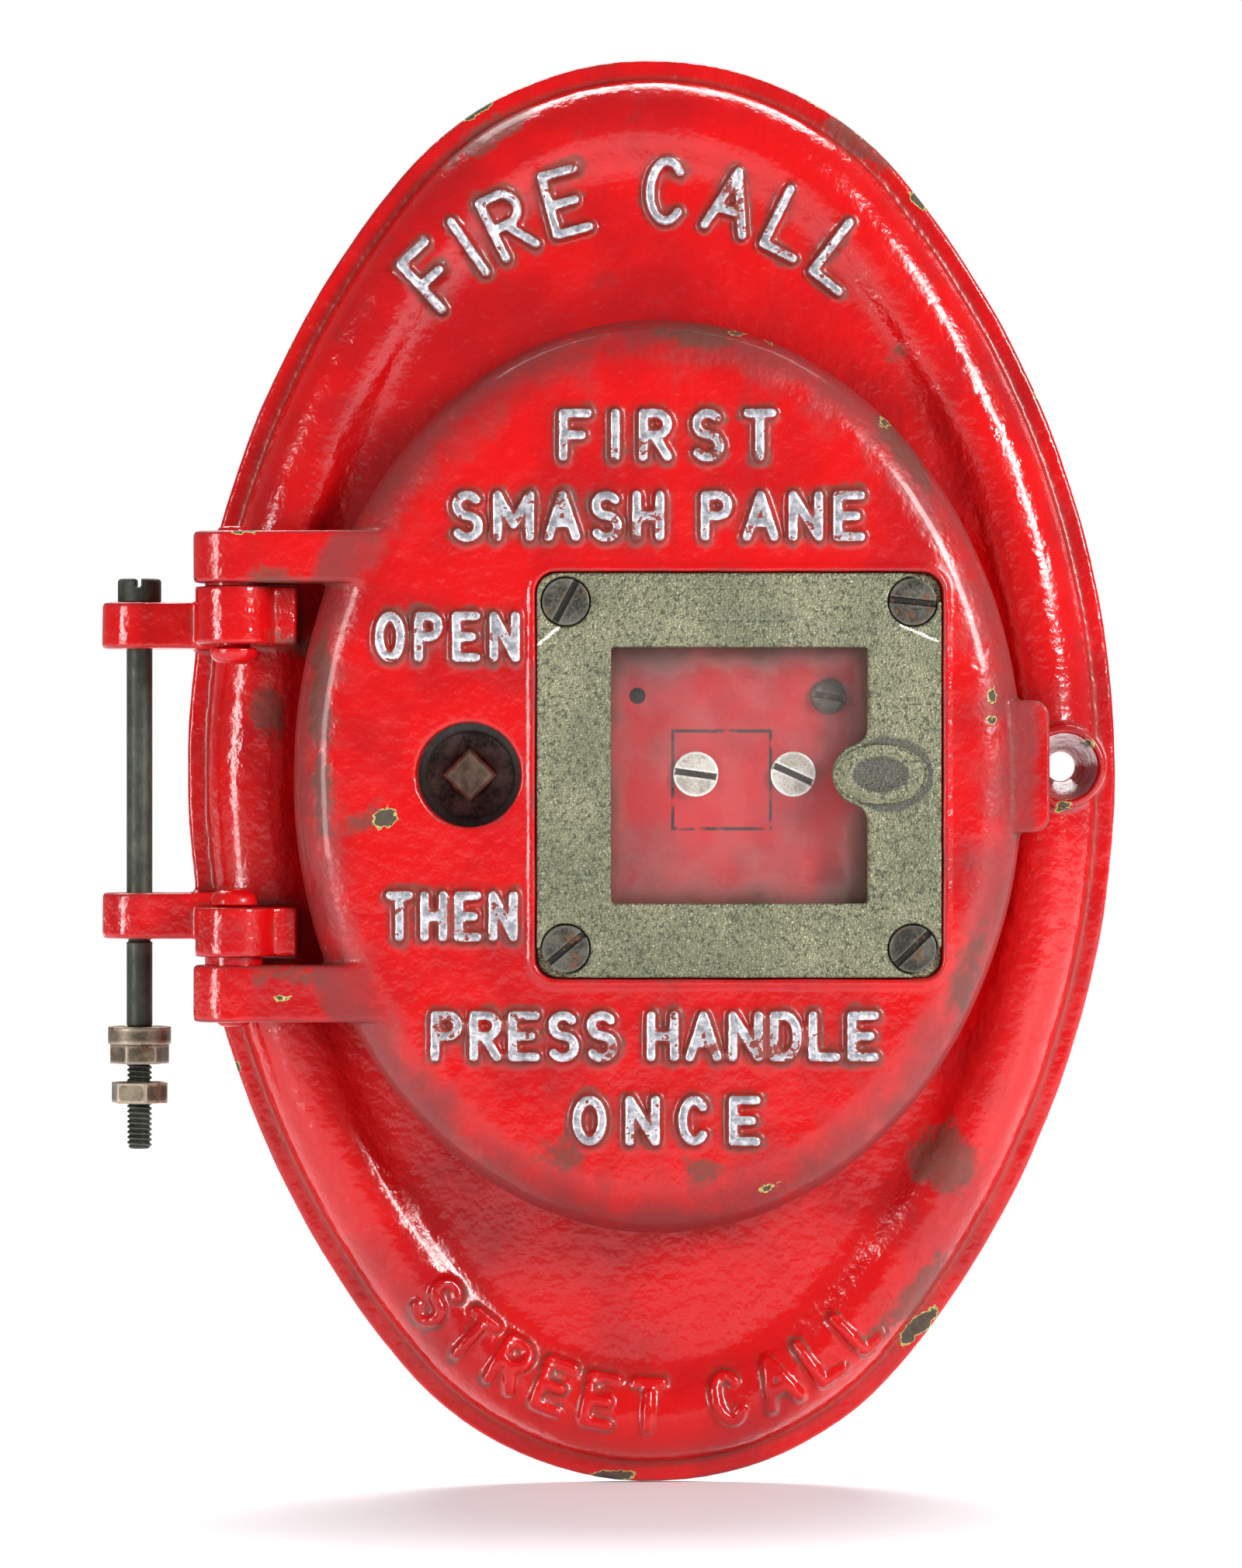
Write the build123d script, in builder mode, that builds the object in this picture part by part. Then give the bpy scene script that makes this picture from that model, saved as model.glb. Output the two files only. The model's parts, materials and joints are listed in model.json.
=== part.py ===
from build123d import *

import os
from math import atan2, cos, degrees, radians, sin

# Front assembly of a street fire alarm station: an oval cast cover that swings on a long hinge bolt, an inner door on
# two short pins, a key lock in the door and a pull lever behind it.
#
# The front faces -Y, +X is to the right and +Z is up. The origin is the centre of the oval, on the plane of the rear rim.
# "Height" means the distance in front of that plane, so a point at height h has y = -h.

# ---- Driving dimensions, in millimetres ----

# Outer cover: a four-arc oval
cover_half_width = 114.5
cover_half_height = 175.5
cover_side_radius = 230.0
cover_wall = 4.7
lip_height = 4.0
lip_width = 4.4
lip_round = 1.0
groove_height = 3.3
shoulder_radius = 11.7
crest_inset = 16.9
web_inset = 31.0
web_rear = 6.0
web_front = 10.5
land_width = 4.0
land_height = 13.7

# Inner door: an ellipse a little off the oval's centre
door_x = 1.6
door_z = -1.4
door_half_width = 89.0
door_half_height = 111.4
door_rear = 14.0
door_face = 35.0
door_face_inside = 29.5
door_wall = 5.0
door_bullnose = 13.0
door_inside_round = 8.0
mouth_margin = 13.0

# Door hinge
pin_x = -101.8
pin_height = 25.0
pin_radius = 4.0
running_gap = 0.05
knuckle_radius = 9.4
arm_eye_radius = 9.8
upper_knuckle = (30.7, 44.8)
lower_knuckle = (-45.3, -33.3)
upper_arm = (45.6, 58.2)
lower_arm = (-61.1, -47.3)
arm_rear = 21.0
arm_front = 34.6
arm_reach = -64.0
pin_head_radius = 5.8
pin_head_height = 4.0
pin_washer_radius = 7.0

# Hinge bolt, 1/4 inch
bolt_x = -126.0
bolt_height = 8.0
bolt_radius = 3.175
bolt_bore_gap = 0.075
bolt_thread_radius = 3.0
bolt_head_radius = 5.35
bolt_head = (41.4, 47.2)
bolt_groove = (-42.1, -41.5)
bolt_shank_end = -62.9
bolt_tip = -93.0
lug_radius = 9.1
upper_lug = (29.9, 41.3)
lower_lug = (-41.3, -30.0)
washer_radius = 7.75
washer_thickness = 2.2
nut_flats = 12.7
first_nut = (-72.1, -67.3)
second_nut = (-81.8, -76.6)

# Cup for the closing bolt
cup_x = 101.0
cup_z = 1.0
cup_radius = 10.4
cup_mouth_radius = 8.5
cup_height = 17.5
cup_floor = 3.5
closing_bolt_radius = 3.6

# Window frame, glass and guard plate
frame_x = 21.1
frame_z = -1.2
frame_size = 98.0
frame_rear = 32.0
frame_front = 35.6
frame_corner = 5.0
frame_pocket_gap = 0.3
pad_size = 101.0
pad_front = 35.8
window_size = 62.0
frame_screw_spacing = 84.0
frame_screw_head_radius = 5.75
glass_size = 71.0
glass_pocket_size = 72.0
glass_rear = 28.2
glass_front = 31.2
flange_size = 84.0
flange_rear = 25.0
flange_front = 27.4
flange_opening = 64.0
gasket_opening = 65.0
guard_size = 70.0
guard_rear = 23.0
boss_x = 55.3
boss_z = -1.0
boss_rise = 2.0

# Lock
spindle_x = -44.4
spindle_z = -1.1
keyhole_radius = 12.7
key_square = 9.525
key_square_end = 21.0
journal_radius = 5.5
lock_plate_rear = 8.0
lock_plate_front = 10.5
lock_plate_width = 132.0
lock_plate_tall = 48.0
lock_plate_x = 2.0
throw_radius = 12.0
throw_half_angle = 30.0
arm_pin_radius = 2.2
bar_rear = 1.0
bar_front = 4.0
bar_low = -7.0
bar_high = 5.0
bar_tip = 69.5
guide_width = 10.0

# Lever and contacts behind the door
base_rear = -8.0
base_front = -5.5
base_half_width = 70.0
base_half_height = 116.0
base_boss_x = 22.0
base_boss_z = 107.0
lever_pivot = (-38.0, 52.0)
knob_centre = (38.0, 66.0)
lever_rear = 2.0
lever_front = 6.0
stud_radius = 4.0

# Values that follow from the ones above
side_shift = cover_side_radius - cover_half_width
end_gap = cover_side_radius - cover_half_height
end_shift = (side_shift**2 - end_gap**2) / (2 * end_gap)
end_radius = cover_half_height - end_shift
side_half_angle = degrees(atan2(end_shift, side_shift))
groove_inset = crest_inset - shoulder_radius
seat_width = groove_inset + cover_wall
crest_height = groove_height + shoulder_radius
mouth_half_width = door_half_width - mouth_margin
mouth_half_height = door_half_height - mouth_margin

# The oval's arcs: centre x, centre z, radius, start angle and turn
rim_arcs = (
    (-side_shift, 0, cover_side_radius, -side_half_angle, 2 * side_half_angle),
    (0, end_shift, end_radius, side_half_angle, 180 - 2 * side_half_angle),
    (side_shift, 0, cover_side_radius, 180 - side_half_angle, 2 * side_half_angle),
    (0, -end_shift, end_radius, 180 + side_half_angle, 180 - 2 * side_half_angle),
)

frame_centre = (frame_x, frame_z)
spindle_centre = (spindle_x, spindle_z)
half_spacing = frame_screw_spacing / 2
frame_screw_spots = [
    (frame_x + half_spacing * side_x, frame_z + half_spacing * side_z)
    for side_x, side_z in ((-1, 1), (1, 1), (-1, -1), (1, -1))
]
frame_slot_angles = (62, -6, 40, 44)
pale_screw_spots = [(10.7, -0.9), (34.4, -0.9)]
dome_screw_spot = (43.0, 18.0)
empty_hole_spot = (-3.5, 18.2)
standoff_spots = [(-57, 19), (62, 19), (-57, -19), (62, -19)]
guide_spots = (-13.0, 48.0)
guide_screw_rows = (9.0, -11.0)
base_boss_spots = [
    (door_x + base_boss_x * side_x, door_z + base_boss_z * side_z) for side_x in (-1, 1) for side_z in (-1, 1)
]


# ---- Shared shapes ----


def level(height):
    """A plane parallel to the rear rim at this height: its x is X, its y is Z and its normal points out of the front."""
    return Plane(origin=(0, -height, 0), x_dir=(1, 0, 0), z_dir=(0, -1, 0))


def oval(inset):
    """Draws the four-arc oval, this far inside the cover's edge."""
    with BuildLine() as outline:
        for centre_x, centre_z, radius, start, turn in rim_arcs:
            CenterArc((centre_x, centre_z), radius - inset, start, turn)
    make_face(outline.edges())


def wall_section():
    """Draws the cover's rim in section: x is the distance inside the edge and y the height."""
    crest_rear = crest_height - cover_wall
    crest_middle = (crest_inset + web_inset) / 2
    with BuildLine() as outline:
        Polyline((seat_width, groove_height), (seat_width, 0), (0, 0), (0, lip_height - lip_round))
        CenterArc((lip_round, lip_height - lip_round), lip_round, 90, 90)
        Polyline((lip_round, lip_height), (lip_width, lip_height), (groove_inset, groove_height))
        CenterArc((crest_inset, groove_height), shoulder_radius, 90, 90)
        TangentArc((crest_inset, crest_height), (crest_middle, (crest_height + web_front) / 2), tangent=(1, 0))
        TangentArc((web_inset, web_front), (crest_middle, (crest_height + web_front) / 2), tangent=(-1, 0))
        Line((web_inset, web_front), (web_inset, web_rear))
        TangentArc((web_inset, web_rear), (crest_middle, (crest_rear + web_rear) / 2), tangent=(-1, 0))
        TangentArc((crest_inset, crest_rear), (crest_middle, (crest_rear + web_rear) / 2), tangent=(1, 0))
        CenterArc((crest_inset, groove_height), shoulder_radius - cover_wall, 90, 90)
    make_face(outline.edges())


def disc(spot, radius, low, high, mode=Mode.ADD):
    """A round column from one height to another."""
    with BuildSketch(level(low)) as profile:
        with Locations(spot):
            Circle(radius)
    extrude(profile.sketch, amount=high - low, mode=mode)


def upright(spot, radius, low, high, mode=Mode.ADD):
    """A round column along Z; the spot is x and height, and low and high are along Z."""
    with BuildSketch(Plane.XY.offset(low)) as profile:
        with Locations((spot[0], -spot[1])):
            Circle(radius)
    extrude(profile.sketch, amount=high - low, mode=mode)


def block(centre, width, tall, low, high, corner=0.0, mode=Mode.ADD):
    """A box from one height to another, with rounded corners if asked."""
    with BuildSketch(level(low)) as profile:
        with Locations(centre):
            if corner:
                RectangleRounded(width, tall, corner)
            else:
                Rectangle(width, tall)
    extrude(profile.sketch, amount=high - low, mode=mode)


def slot_cut(spot, length, width, angle, low, high):
    """A screwdriver slot across a head."""
    with BuildSketch(level(low)) as profile:
        with Locations(Location((spot[0], spot[1], 0), (0, 0, angle))):
            Rectangle(length, width)
    extrude(profile.sketch, amount=high - low, mode=Mode.SUBTRACT)


def front_screw(spot, head_radius, head_low, head_high, shank_radius, tip, angle, dome=0.0):
    """A slotted screw driven in from the front; dome rounds the head's edge."""
    disc(spot, head_radius, head_low, head_high)
    if dome:
        fillet(faces().sort_by(Axis.Y)[0].edges(), dome)
    disc(spot, shank_radius, tip, head_low)
    slot_cut(spot, 2.2 * head_radius, 1.5, angle, head_high - 0.9, head_high + 0.5)


def rear_screw(spot, head_radius, head_low, head_high, shank_radius, tip, angle):
    """A slotted screw driven in from behind."""
    disc(spot, head_radius, head_low, head_high)
    disc(spot, shank_radius, head_high, tip)
    slot_cut(spot, 2.2 * head_radius, 1.2, angle, head_low - 0.5, head_low + 0.8)


# ---- Outer cover ----

with BuildPart() as outer_cover:
    for centre_x, centre_z, radius, start, turn in rim_arcs:
        outward = Vector(cos(radians(start)), 0, sin(radians(start)))
        edge_point = Vector(centre_x, 0, centre_z) + outward * radius
        with BuildSketch(Plane(origin=edge_point, x_dir=-outward, z_dir=(-outward).cross(Vector(0, -1, 0)))):
            wall_section()
        revolve(axis=Axis((centre_x, 0, centre_z), (0, -1, 0)), revolution_arc=turn)
    with BuildSketch(level(web_rear)):
        oval(web_inset)
    extrude(amount=web_front - web_rear)
    # The land that the door closes over, and the mouth inside it
    with BuildSketch(level(web_front)):
        with Locations((door_x, door_z)):
            Ellipse(mouth_half_width + land_width, mouth_half_height + land_width)
    extrude(amount=land_height - web_front)
    with BuildSketch(level(web_rear)):
        with Locations((door_x, door_z)):
            Ellipse(mouth_half_width, mouth_half_height)
    extrude(amount=land_height - web_rear, mode=Mode.SUBTRACT)
    # Cup for the closing bolt
    disc((cup_x, cup_z), cup_radius, 0, cup_height)
    fillet(edges().filter_by(GeomType.CIRCLE).group_by(Axis.Y)[0], 1.6)
    with BuildSketch(Plane(origin=(cup_x, 0, cup_z), x_dir=(1, 0, 0), z_dir=(0, 0, -1))):
        with BuildLine():
            Polyline((0, cup_floor), (closing_bolt_radius, cup_floor))
            TangentArc((cup_mouth_radius, cup_height), (closing_bolt_radius, cup_floor), tangent=(-0.2, -1))
            Polyline((cup_mouth_radius, cup_height), (cup_mouth_radius, cup_height + 1), (0, cup_height + 1), (0, cup_floor))
        make_face()
    revolve(axis=Axis((cup_x, 0, cup_z), (0, 1, 0)), mode=Mode.SUBTRACT)
    disc((cup_x, cup_z), closing_bolt_radius, -1, cup_floor + 1, mode=Mode.SUBTRACT)
    # Lugs for the hinge bolt
    for low, high in (upper_lug, lower_lug):
        upright((bolt_x, bolt_height), lug_radius, low, high)
        with BuildSketch(Plane.XY.offset(low)):
            with BuildLine():
                Polyline(
                    (bolt_x, -1.2), (-105, -1.2), (-103, -7), (-98, -11.5), (-98, -14.6), (-114, -15.8), (bolt_x, -16.6),
                    close=True,
                )
            make_face()
        extrude(amount=high - low)
    # Knuckles for the door pins, with a stepped rib behind each
    for low, high in (upper_knuckle, lower_knuckle):
        upright((pin_x, pin_height), knuckle_radius, low, high)
        with BuildSketch(Plane.XY.offset(low)):
            with BuildLine():
                Polyline(
                    (pin_x - knuckle_radius, -pin_height),
                    (pin_x - knuckle_radius, -12),
                    (-92, -12),
                    (-86.5, -9.5),
                    (-86.5, -pin_height + 1),
                    (pin_x, -pin_height - 4),
                    close=True,
                )
            make_face()
        extrude(amount=high - low)
    # Bores
    for low, high in (upper_lug, lower_lug):
        upright((bolt_x, bolt_height), bolt_radius + bolt_bore_gap, low, high, mode=Mode.SUBTRACT)
    for low, high in (upper_knuckle, lower_knuckle):
        upright((pin_x, pin_height), pin_radius + running_gap, low, high, mode=Mode.SUBTRACT)
    # Bosses that carry the base plate
    for spot in base_boss_spots:
        disc(spot, 6.0, base_front, web_rear)
        disc(spot, 2.5, base_front, 4.0, mode=Mode.SUBTRACT)
    for strike_screw_z in (15.0, -15.0):
        disc((80.8, strike_screw_z), 1.5, web_rear, web_front - 1.0, mode=Mode.SUBTRACT)

# ---- Hinge bolt, its washers and its nuts ----

with BuildPart() as hinge_bolt:
    upright((bolt_x, bolt_height), bolt_thread_radius, bolt_tip, bolt_shank_end)
    chamfer(faces().sort_by(Axis.Z)[0].edges(), 0.8)
    upright((bolt_x, bolt_height), bolt_radius, bolt_shank_end, bolt_groove[0])
    upright((bolt_x, bolt_height), bolt_radius - 0.3, bolt_groove[0], bolt_groove[1])
    upright((bolt_x, bolt_height), bolt_radius, bolt_groove[1], bolt_head[0])
    upright((bolt_x, bolt_height), bolt_head_radius, *bolt_head)
    fillet(faces().sort_by(Axis.Z)[-1].edges(), 0.9)
    with BuildSketch(Plane.XY.offset(bolt_head[1] - 2.2)):
        with Locations((bolt_x, -bolt_height)):
            Rectangle(1.5, 12)
    extrude(amount=3, mode=Mode.SUBTRACT)

with BuildPart() as hinge_bolt_washers:
    for turn in range(2):
        low = bolt_shank_end - (turn + 1) * washer_thickness
        upright((bolt_x, bolt_height), washer_radius, low, low + washer_thickness - 0.05)
        upright((bolt_x, bolt_height), bolt_thread_radius + 0.3, low, low + washer_thickness, mode=Mode.SUBTRACT)

with BuildPart() as hinge_bolt_nuts:
    for (low, high), nut_turn in ((first_nut, 8), (second_nut, -14)):
        with BuildSketch(Plane.XY.offset(low)):
            with Locations(Location((bolt_x, -bolt_height, 0), (0, 0, nut_turn))):
                RegularPolygon(nut_flats / 2, 6, major_radius=False)
        extrude(amount=high - low)
        upright((bolt_x, bolt_height), bolt_thread_radius, low, high, mode=Mode.SUBTRACT)

# ---- Inner door ----

with BuildPart() as door_hollow:
    with BuildSketch(level(door_rear)):
        with Locations((door_x, door_z)):
            Ellipse(door_half_width - door_wall, door_half_height - door_wall)
    extrude(amount=door_face_inside - door_rear)
    fillet(faces().sort_by(Axis.Y)[0].edges(), door_inside_round)

with BuildPart() as inner_door:
    with BuildSketch(level(door_rear)):
        with Locations((door_x, door_z)):
            Ellipse(door_half_width, door_half_height)
    extrude(amount=door_face - door_rear)
    fillet(faces().sort_by(Axis.Y)[0].edges(), door_bullnose)
    # Arms to the door pins
    for low, high in (upper_arm, lower_arm):
        upright((pin_x, pin_height), arm_eye_radius, low, high)
        with BuildSketch(Plane.XY.offset(low)):
            with BuildLine():
                Polyline(
                    (pin_x, -arm_rear), (pin_x, -arm_front), (arm_reach, -arm_front), (arm_reach, -arm_rear), close=True
                )
            make_face()
        extrude(amount=high - low)
    # Tab over the closing bolt's cup
    block((87.0, 1.0), 19.2, 32.0, 19.3, 30.5, corner=4.0)
    # Crisp pad around the window frame
    block(frame_centre, pad_size, pad_size, 30.0, pad_front, corner=6.0)
    add(door_hollow.part, mode=Mode.SUBTRACT)
    # Flange that holds the glass, standoffs for the lock plate and the key tube
    block(frame_centre, flange_size, flange_size, flange_rear, 30.0, corner=3.0)
    for spot in standoff_spots:
        disc(spot, 4.5, lock_plate_front, 30.0)
    disc(spindle_centre, keyhole_radius + 3.8, 13.0, 30.0)
    # Pockets, window and holes
    pocket_size = frame_size + 2 * frame_pocket_gap
    block(frame_centre, pocket_size, pocket_size, frame_rear, pad_front, frame_corner, mode=Mode.SUBTRACT)
    block(frame_centre, glass_pocket_size, glass_pocket_size, flange_front, frame_rear, 1.5, mode=Mode.SUBTRACT)
    block(frame_centre, flange_opening, flange_opening, flange_rear, flange_front, 1.0, mode=Mode.SUBTRACT)
    disc(spindle_centre, keyhole_radius, 13.0, pad_front + 1, mode=Mode.SUBTRACT)
    for spot in frame_screw_spots:
        disc(spot, 2.5, flange_rear + 1.0, frame_rear, mode=Mode.SUBTRACT)
    for spot in standoff_spots:
        disc(spot, 2.0, lock_plate_front, 20.0, mode=Mode.SUBTRACT)
    for low, high in (upper_arm, lower_arm):
        upright((pin_x, pin_height), pin_radius, low, high, mode=Mode.SUBTRACT)

with BuildPart() as door_pins:
    upright((pin_x, pin_height), pin_radius, upper_knuckle[0] - 0.9, upper_arm[1] + 1.2)
    upright((pin_x, pin_height), pin_radius, lower_arm[0] - 1.2, lower_knuckle[1] + 0.4)
    chamfer(faces().sort_by(Axis.Z)[-1].edges(), 0.8)
    chamfer(faces().sort_by(Axis.Z)[0].edges(), 0.8)
    upper_head_top = upper_knuckle[0] - 0.9
    lower_head_base = lower_knuckle[1] + 0.4
    upright((pin_x, pin_height), pin_head_radius, upper_head_top - pin_head_height, upper_head_top)
    upright((pin_x, pin_height), pin_head_radius, lower_head_base, lower_head_base + pin_head_height)
    head_edges = edges().filter_by(GeomType.CIRCLE).filter_by(lambda edge: edge.radius > pin_head_radius - 0.1)
    fillet(head_edges.sort_by(Axis.Z)[1:3], 3.4)

with BuildPart() as door_pin_washers:
    upright((pin_x, pin_height), pin_washer_radius, upper_knuckle[1] + 0.1, upper_arm[0])
    upright((pin_x, pin_height), pin_washer_radius, lower_arm[1], lower_knuckle[0] - 0.1)
    upright((pin_x, pin_height), pin_radius, lower_arm[1], upper_arm[0], mode=Mode.SUBTRACT)

# ---- Window frame, screws, glass and guard plate ----

with BuildPart() as window_frame:
    block(frame_centre, frame_size, frame_size, frame_rear, frame_front, corner=frame_corner)
    with BuildSketch(level(frame_rear)):
        with Locations(frame_centre):
            Rectangle(window_size, window_size)
        with Locations((boss_x - 4.1, boss_z)):
            Circle(7.6, mode=Mode.SUBTRACT)
        notch_corners = vertices().filter_by(lambda corner: abs(corner.Y - boss_z) < 9)
        fillet(notch_corners, 4.0)
    extrude(amount=frame_front - frame_rear, mode=Mode.SUBTRACT)
    # Oval finger boss with a shallow dish
    with BuildSketch(level(frame_front)):
        with Locations((boss_x, boss_z)):
            Ellipse(11.4, 7.3)
    extrude(amount=boss_rise)
    fillet(faces().sort_by(Axis.Y)[0].edges(), 1.7)
    dish_height = frame_front + boss_rise + 5.8
    with BuildSketch(Plane(origin=(boss_x, -dish_height, boss_z), x_dir=(1, 0, 0), z_dir=(0, 0, -1))):
        Ellipse(11.2, 8.0)
        with Locations((0, 5)):
            Rectangle(30, 10, mode=Mode.SUBTRACT)
    revolve(axis=Axis((boss_x, -dish_height, boss_z), (1, 0, 0)), mode=Mode.SUBTRACT)
    # Screw holes; the first recess is closed, and the others break out at the plate's corner
    for spot in frame_screw_spots:
        disc(spot, 2.5, frame_rear, frame_front, mode=Mode.SUBTRACT)
        disc(spot, frame_screw_head_radius + 0.35, frame_rear + 1.5, frame_front, mode=Mode.SUBTRACT)
    for spot_x, spot_z in frame_screw_spots[1:]:
        toward_x = 1 if spot_x > frame_x else -1
        toward_z = 1 if spot_z > frame_z else -1
        block(
            (spot_x + 4.0 * toward_x, spot_z + 4.0 * toward_z), 8.0, 8.0, frame_rear + 1.5, frame_front, 1.0, Mode.SUBTRACT
        )

with BuildPart() as frame_screws:
    for spot, angle in zip(frame_screw_spots, frame_slot_angles):
        front_screw(spot, frame_screw_head_radius, frame_rear + 1.5, frame_front - 0.3, 2.5, flange_rear + 1.2, angle)

with BuildPart() as glass_pane:
    block(frame_centre, glass_size, glass_size, glass_rear, glass_front, corner=1.0)

with BuildPart() as glass_gaskets:
    for low, high in ((flange_front, glass_rear), (glass_front, frame_rear)):
        block(frame_centre, glass_size, glass_size, low, high, corner=1.0)
        block(frame_centre, gasket_opening, gasket_opening, low, high, mode=Mode.SUBTRACT)

with BuildPart() as guard_plate:
    block(frame_centre, guard_size, guard_size, guard_rear, flange_rear, corner=2.0)
    for spot in pale_screw_spots + [dome_screw_spot, empty_hole_spot]:
        disc(spot, 2.0, guard_rear, flange_rear, mode=Mode.SUBTRACT)

with BuildPart() as guard_posts:
    for spot in pale_screw_spots + [dome_screw_spot, empty_hole_spot]:
        disc(spot, 4.0, lock_plate_front, guard_rear)
        disc(spot, 2.0, guard_rear - 7.0, guard_rear, mode=Mode.SUBTRACT)

with BuildPart() as guard_screws:
    for spot, angle in zip(pale_screw_spots, (-8, -24)):
        front_screw(spot, 5.5, flange_rear, flange_rear + 1.7, 2.0, guard_rear - 6.0, angle)

with BuildPart() as guard_dome_screw:
    front_screw(dome_screw_spot, 4.4, flange_rear, flange_rear + 2.6, 2.0, guard_rear - 6.0, -10, dome=2.2)

# ---- Lock ----

with BuildPart() as lock_plate:
    block((lock_plate_x, 0), lock_plate_width, lock_plate_tall, lock_plate_rear, lock_plate_front, corner=4.0)
    disc(spindle_centre, 7.5, lock_plate_rear, lock_plate_front, mode=Mode.SUBTRACT)
    for spot in standoff_spots:
        disc(spot, 2.0, lock_plate_rear, lock_plate_front, mode=Mode.SUBTRACT)
    for guide_x in guide_spots:
        for row in guide_screw_rows:
            disc((guide_x, row), 1.5, lock_plate_rear, lock_plate_front, mode=Mode.SUBTRACT)

with BuildPart() as lock_plate_screws:
    for spot, angle in zip(standoff_spots, (20, 75, -40, 10)):
        rear_screw(spot, 4.0, lock_plate_rear - 1.8, lock_plate_rear, 2.0, 19.0, angle)

with BuildPart() as spindle_bush:
    disc(spindle_centre, 7.5, lock_plate_rear, lock_plate_front)
    disc(spindle_centre, 10.5, lock_plate_front, lock_plate_front + 1.6)
    disc(spindle_centre, journal_radius + running_gap, lock_plate_rear, lock_plate_front + 1.6, mode=Mode.SUBTRACT)

spindle_tail = bar_front + 0.4
spindle_step = lock_plate_rear - 0.3
spindle_square = lock_plate_front + 1.9
with BuildPart() as lock_spindle:
    disc(spindle_centre, 4.5, spindle_tail, spindle_step)
    disc(spindle_centre, journal_radius, spindle_step, spindle_square)
    with BuildSketch(level(spindle_square)):
        with Locations(Location((spindle_x, spindle_z, 0), (0, 0, 45))):
            Rectangle(key_square, key_square)
    extrude(amount=key_square_end - spindle_square)
    chamfer(faces().sort_by(Axis.Y)[0].edges(), 0.8)

rest_angle = radians(-90 - throw_half_angle)
arm_pin_spot = (spindle_x + throw_radius * cos(rest_angle), spindle_z + throw_radius * sin(rest_angle))
with BuildPart() as spindle_arm:
    with BuildSketch(level(bar_front + 0.5)):
        with Locations(spindle_centre):
            Circle(8.0)
        with Locations(arm_pin_spot):
            Circle(4.6)
        make_hull()
    extrude(amount=spindle_step - bar_front - 0.5)
    disc(spindle_centre, 4.5, bar_front + 0.5, spindle_step, mode=Mode.SUBTRACT)
    disc(arm_pin_spot, arm_pin_radius, bar_front + 0.5, spindle_step, mode=Mode.SUBTRACT)

with BuildPart() as spindle_arm_pin:
    disc(arm_pin_spot, arm_pin_radius, bar_rear + 0.3, spindle_step)

bar_root = -62.0
slot_half = arm_pin_radius + 0.45
with BuildPart() as latch_bar:
    with BuildSketch(level(bar_rear)):
        with BuildLine():
            Polyline(
                (bar_root, bar_high), (bar_root, -19), (-37, -19), (-33, bar_low), (bar_tip, bar_low),
                (bar_tip, bar_high), close=True,
            )
        make_face()
        with Locations((arm_pin_spot[0], arm_pin_spot[1] - 0.8)):
            Rectangle(2 * slot_half, 2 * slot_half + 2.4, mode=Mode.SUBTRACT)
    extrude(amount=bar_front - bar_rear)
    chamfer(edges().filter_by(Axis.Z).sort_by(Axis.X)[-1:], 0.8)

with BuildPart() as latch_guides:
    for guide_x in guide_spots:
        block((guide_x, -1.0), guide_width, 28.0, bar_rear - 2.3, lock_plate_rear, corner=1.5)
        block(
            (guide_x, (bar_low + bar_high) / 2), guide_width + 1, bar_high - bar_low + 0.7, bar_rear - 0.35,
            lock_plate_rear, mode=Mode.SUBTRACT,
        )
        for row in guide_screw_rows:
            disc((guide_x, row), 1.5, bar_rear - 2.3, lock_plate_rear, mode=Mode.SUBTRACT)

with BuildPart() as guide_screws:
    for guide_x in guide_spots:
        for row, angle in zip(guide_screw_rows, (30, -50)):
            rear_screw((guide_x, row), 2.8, bar_rear - 3.9, bar_rear - 2.3, 1.5, lock_plate_front - 0.4, angle)

strike_front = web_rear
strike_rear = bar_front + 0.35
with BuildPart() as strike_plate:
    block((80.8, 0), 4.8, 38.0, strike_rear, strike_front, corner=1.0)
    for strike_screw_z in (15.0, -15.0):
        disc((80.8, strike_screw_z), 1.5, strike_rear, strike_front, mode=Mode.SUBTRACT)

with BuildPart() as strike_screws:
    for strike_screw_z, angle in ((15.0, 15), (-15.0, 100)):
        rear_screw((80.8, strike_screw_z), 2.2, strike_rear - 1.3, strike_rear, 1.5, web_front - 1.2, angle)

# ---- Base plate, pull lever and contacts ----

stop_spot = (-8.0, 69.0)
wire_hole_spot = (door_x, -75.0)
with BuildPart() as base_plate:
    with BuildSketch(level(base_rear)):
        with Locations((door_x, door_z)):
            Ellipse(base_half_width, base_half_height)
    extrude(amount=base_front - base_rear)
    for spot in base_boss_spots:
        disc(spot, 2.5, base_rear, base_front, mode=Mode.SUBTRACT)
    disc(wire_hole_spot, 8.0, base_rear, base_front, mode=Mode.SUBTRACT)
    disc(lever_pivot, 3.0, base_rear, base_front, mode=Mode.SUBTRACT)
    disc(stop_spot, 2.0, base_rear, base_front, mode=Mode.SUBTRACT)

with BuildPart() as base_plate_screws:
    for spot, angle in zip(base_boss_spots, (35, -20, 80, 5)):
        rear_screw(spot, 5.0, base_rear - 2.2, base_rear, 2.5, 3.0, angle)

nut_rear = lever_front + 0.3
with BuildPart() as lever_stud:
    disc(lever_pivot, 3.0, base_rear, base_front)
    disc(lever_pivot, 9.0, base_front, base_front + 1.2)
    disc(lever_pivot, stud_radius, base_front + 1.2, nut_rear)
    disc(lever_pivot, 3.0, nut_rear, nut_rear + 4.6)

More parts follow.
